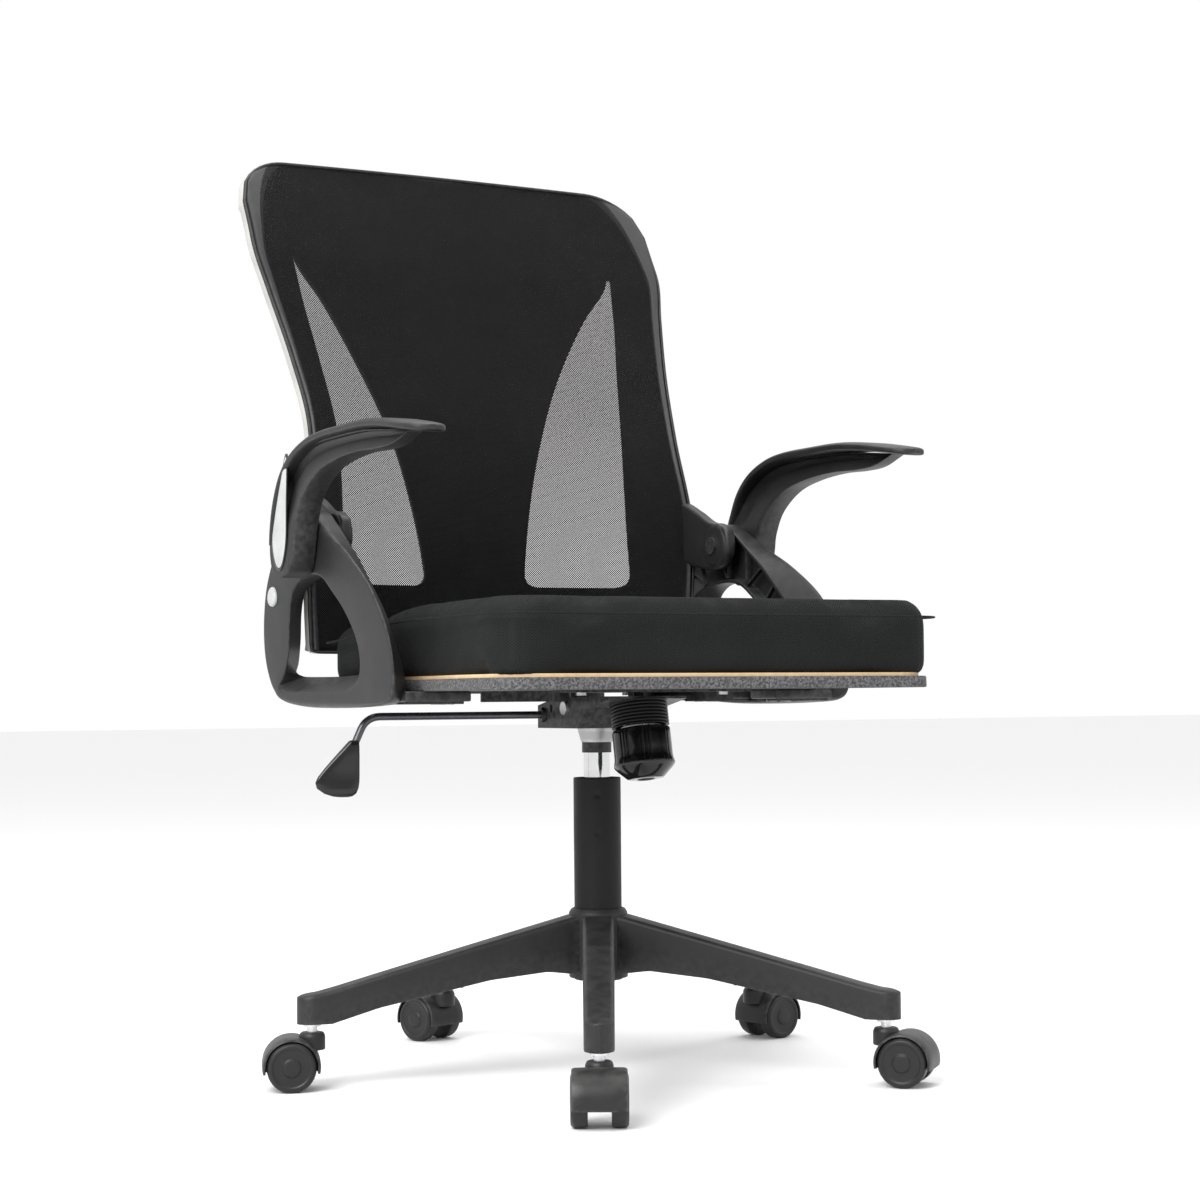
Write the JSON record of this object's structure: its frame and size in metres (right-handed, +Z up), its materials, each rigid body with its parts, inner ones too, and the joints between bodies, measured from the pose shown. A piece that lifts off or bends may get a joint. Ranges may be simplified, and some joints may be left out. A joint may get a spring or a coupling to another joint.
{
  "type": "swivel office chair",
  "caption": "Swivel chair on a star base with twin-wheel casters, gas lift, tilt mechanism, padded seat, flip-up arms and a folding mesh back.",
  "frame": {"origin": "the floor point under the swivel axis", "axes": "+Z up along the swivel axis; the chair faces -Y; +X is the sitter's left"},
  "size_m": [0.6881, 0.7407, 1.025],
  "materials": {
    "base_plastic": "fine-grained moulded nylon, satin matte",
    "gloss_plastic": "glossy",
    "silver_plastic": "satin silver-grey paint",
    "column_paint": "matte black powder coat",
    "mechanism_paint": "satin black paint on pressed steel",
    "chrome": "polished",
    "zinc_steel": "zinc plated",
    "dark_steel": "black oxide",
    "plywood": "bare plywood",
    "felt": "speckled non-woven felt",
    "seat_fabric": "air mesh fabric over foam",
    "back_fabric": "open elastic mesh",
    "caster_plastic": "moulded nylon"
  },
  "bodies": {
    "base": {"star_base": "base_plastic", "caster_stems": "zinc_steel", "column_tube": "column_paint", "column_bushing": "base_plastic"},
    "lift_rod": {"piston_rod": "dark_steel", "thrust_bearing": "zinc_steel"},
    "mechanism": {"gas_cylinder": "chrome", "column_collar": "base_plastic", "taper_socket": "zinc_steel", "mechanism_housing": "mechanism_paint", "tilt_axle": "zinc_steel"},
    "valve_pin": {"release_pin": "zinc_steel"},
    "lever_pivot": {"lever_bush": "base_plastic"},
    "lever": {"lever_rod": "dark_steel", "lever_paddle": "gloss_plastic"},
    "seat": {"seat_plate": "mechanism_paint", "seat_board": "plywood", "plate_bolts": "zinc_steel", "underside_cover": "felt", "seat_cushion": "seat_fabric", "bracket_left": "base_plastic", "bracket_right": "base_plastic", "bracket_bolts": "zinc_steel", "hinge_pins": "zinc_steel", "button_springs": "dark_steel", "tension_bolt": "dark_steel", "tension_boot": "gloss_plastic", "tension_spring": "dark_steel"},
    "tension_washer": {"thrust_washer": "zinc_steel"},
    "tension_knob": {"tension_knob": "gloss_plastic"},
    "back": {"back_frame": "base_plastic", "back_mesh": "back_fabric", "back_ears": "base_plastic", "back_screws": "zinc_steel"},
    "arm_left": {"arm_left": "base_plastic", "arm_cap_left": "silver_plastic"},
    "arm_right": {"arm_right": "base_plastic", "arm_cap_right": "silver_plastic"},
    "button_left": {"release_button_left": "silver_plastic"},
    "button_right": {"release_button_right": "silver_plastic"},
    "caster_1": {"caster_hood_1": "caster_plastic", "caster_axle_1": "dark_steel"},
    "wheel_in_1": {"caster_wheel_in_1": "caster_plastic"},
    "wheel_out_1": {"caster_wheel_out_1": "caster_plastic"},
    "caster_2": {"caster_hood_2": "caster_plastic", "caster_axle_2": "dark_steel"},
    "wheel_in_2": {"caster_wheel_in_2": "caster_plastic"},
    "wheel_out_2": {"caster_wheel_out_2": "caster_plastic"},
    "caster_3": {"caster_hood_3": "caster_plastic", "caster_axle_3": "dark_steel"},
    "wheel_in_3": {"caster_wheel_in_3": "caster_plastic"},
    "wheel_out_3": {"caster_wheel_out_3": "caster_plastic"},
    "caster_4": {"caster_hood_4": "caster_plastic", "caster_axle_4": "dark_steel"},
    "wheel_in_4": {"caster_wheel_in_4": "caster_plastic"},
    "wheel_out_4": {"caster_wheel_out_4": "caster_plastic"},
    "caster_5": {"caster_hood_5": "caster_plastic", "caster_axle_5": "dark_steel"},
    "wheel_in_5": {"caster_wheel_in_5": "caster_plastic"},
    "wheel_out_5": {"caster_wheel_out_5": "caster_plastic"}
  },
  "joints": [
    {"name": "seat_swivel", "type": "hinge", "parent": "base", "child": "lift_rod", "pos_m": [0, 0, 0.1], "axis": [0, 0, 1], "continuous": true},
    {"name": "seat_height", "type": "slide", "parent": "lift_rod", "child": "mechanism", "axis": [0, 0, 1], "range_m": [-0.02, 0.08]},
    {"name": "lever_lift", "type": "hinge", "parent": "mechanism", "child": "lever_pivot", "pos_m": [-0.0435, 0.035, 0.376], "axis": [0.1288, 0.9917, 0], "range_deg": [0, 2], "stiffness_Nm_per_rad": 4, "springref_deg": -2.86},
    {"name": "valve_travel", "type": "slide", "parent": "mechanism", "child": "valve_pin", "axis": [0, 0, -1], "range_m": [0, 0.0017]},
    {"name": "lever_slide", "type": "slide", "parent": "lever_pivot", "child": "lever", "axis": [0.9917, -0.1288, 0], "range_m": [0, 0.01]},
    {"name": "seat_tilt", "type": "hinge", "parent": "mechanism", "child": "seat", "pos_m": [0, -0.015, 0.383], "axis": [-1, 0, 0], "range_deg": [0, 8], "stiffness_Nm_per_rad": 160, "springref_deg": -6.88, "deforming": ["tension_boot", "tension_spring"]},
    {"name": "knob_turn", "type": "hinge", "parent": "tension_washer", "child": "tension_knob", "pos_m": [0, -0.09, 0.388], "axis": [0, 0.1908, 0.9816], "range_deg": [-725, 725]},
    {"name": "tension_travel", "type": "slide", "parent": "seat", "child": "tension_washer", "axis": [0, 0.1908, 0.9816], "range_m": [-0.004, 0.004]},
    {"name": "back_fold", "type": "hinge", "parent": "seat", "child": "back", "pos_m": [0, 0.136, 0.568], "axis": [1, 0, 0], "range_deg": [0, 90]},
    {"name": "arm_flip_left", "type": "hinge", "parent": "seat", "child": "arm_left", "pos_m": [0.285, 0.136, 0.568], "axis": [-1, 0, 0], "range_deg": [0, 90]},
    {"name": "arm_flip_right", "type": "hinge", "parent": "seat", "child": "arm_right", "pos_m": [-0.285, 0.136, 0.568], "axis": [-1, 0, 0], "range_deg": [0, 90]},
    {"name": "button_press_left", "type": "slide", "parent": "seat", "child": "button_left", "axis": [-1, 0, 0], "range_m": [0, 0.003], "stiffness_N_per_m": 400, "springref_m": -0.001, "deforming": ["button_springs"]},
    {"name": "button_press_right", "type": "slide", "parent": "seat", "child": "button_right", "axis": [1, 0, 0], "range_m": [0, 0.003], "stiffness_N_per_m": 400, "springref_m": -0.001},
    {"name": "caster_swivel_1", "type": "hinge", "parent": "base", "child": "caster_1", "pos_m": [-0.14601, -0.26892, 0.06], "axis": [0, 0, 1], "continuous": true},
    {"name": "wheel_in_spin_1", "type": "hinge", "parent": "caster_1", "child": "wheel_in_1", "pos_m": [-0.15603, -0.28737, 0.025], "axis": [0.8788, -0.4772, 0], "continuous": true},
    {"name": "wheel_out_spin_1", "type": "hinge", "parent": "caster_1", "child": "wheel_out_1", "pos_m": [-0.15603, -0.28737, 0.025], "axis": [0.8788, -0.4772, 0], "continuous": true},
    {"name": "caster_swivel_2", "type": "hinge", "parent": "base", "child": "caster_2", "pos_m": [0.21064, -0.22196, 0.06], "axis": [0, 0, 1], "continuous": true},
    {"name": "wheel_in_spin_2", "type": "hinge", "parent": "caster_2", "child": "wheel_in_2", "pos_m": [0.22455, -0.23769, 0.025], "axis": [0.749, 0.6626, 0], "continuous": true},
    {"name": "wheel_out_spin_2", "type": "hinge", "parent": "caster_2", "child": "wheel_out_2", "pos_m": [0.22455, -0.23769, 0.025], "axis": [0.749, 0.6626, 0], "continuous": true},
    {"name": "caster_swivel_3", "type": "hinge", "parent": "base", "child": "caster_3", "pos_m": [0.27619, 0.13174, 0.06], "axis": [0, 0, 1], "continuous": true},
    {"name": "wheel_in_spin_3", "type": "hinge", "parent": "caster_3", "child": "wheel_in_3", "pos_m": [0.29677, 0.13592, 0.025], "axis": [-0.1994, 0.9799, 0], "continuous": true},
    {"name": "wheel_out_spin_3", "type": "hinge", "parent": "caster_3", "child": "wheel_out_3", "pos_m": [0.29677, 0.13592, 0.025], "axis": [-0.1994, 0.9799, 0], "continuous": true},
    {"name": "caster_swivel_4", "type": "hinge", "parent": "base", "child": "caster_4", "pos_m": [-0.03994, 0.30338, 0.06], "axis": [0, 0, 1], "continuous": true},
    {"name": "wheel_in_spin_4", "type": "hinge", "parent": "caster_4", "child": "wheel_in_4", "pos_m": [-0.04764, 0.32292, 0.025], "axis": [-0.9304, -0.3665, 0], "continuous": true},
    {"name": "wheel_out_spin_4", "type": "hinge", "parent": "caster_4", "child": "wheel_out_4", "pos_m": [-0.04764, 0.32292, 0.025], "axis": [-0.9304, -0.3665, 0], "continuous": true},
    {"name": "caster_swivel_5", "type": "hinge", "parent": "base", "child": "caster_5", "pos_m": [-0.30088, 0.05576, 0.06], "axis": [0, 0, 1], "continuous": true},
    {"name": "wheel_in_spin_5", "type": "hinge", "parent": "caster_5", "child": "wheel_in_5", "pos_m": [-0.32061, 0.06295, 0.025], "axis": [-0.342, -0.9397, 0], "continuous": true},
    {"name": "wheel_out_spin_5", "type": "hinge", "parent": "caster_5", "child": "wheel_out_5", "pos_m": [-0.32061, 0.06295, 0.025], "axis": [-0.342, -0.9397, 0], "continuous": true}
  ],
  "couplings": [
    {"joint": "valve_travel", "follows": "lever_lift", "m_per_rad": 0.0477},
    {"joint": "knob_turn", "follows": "tension_travel", "rad_per_m": 3141.6}
  ]
}
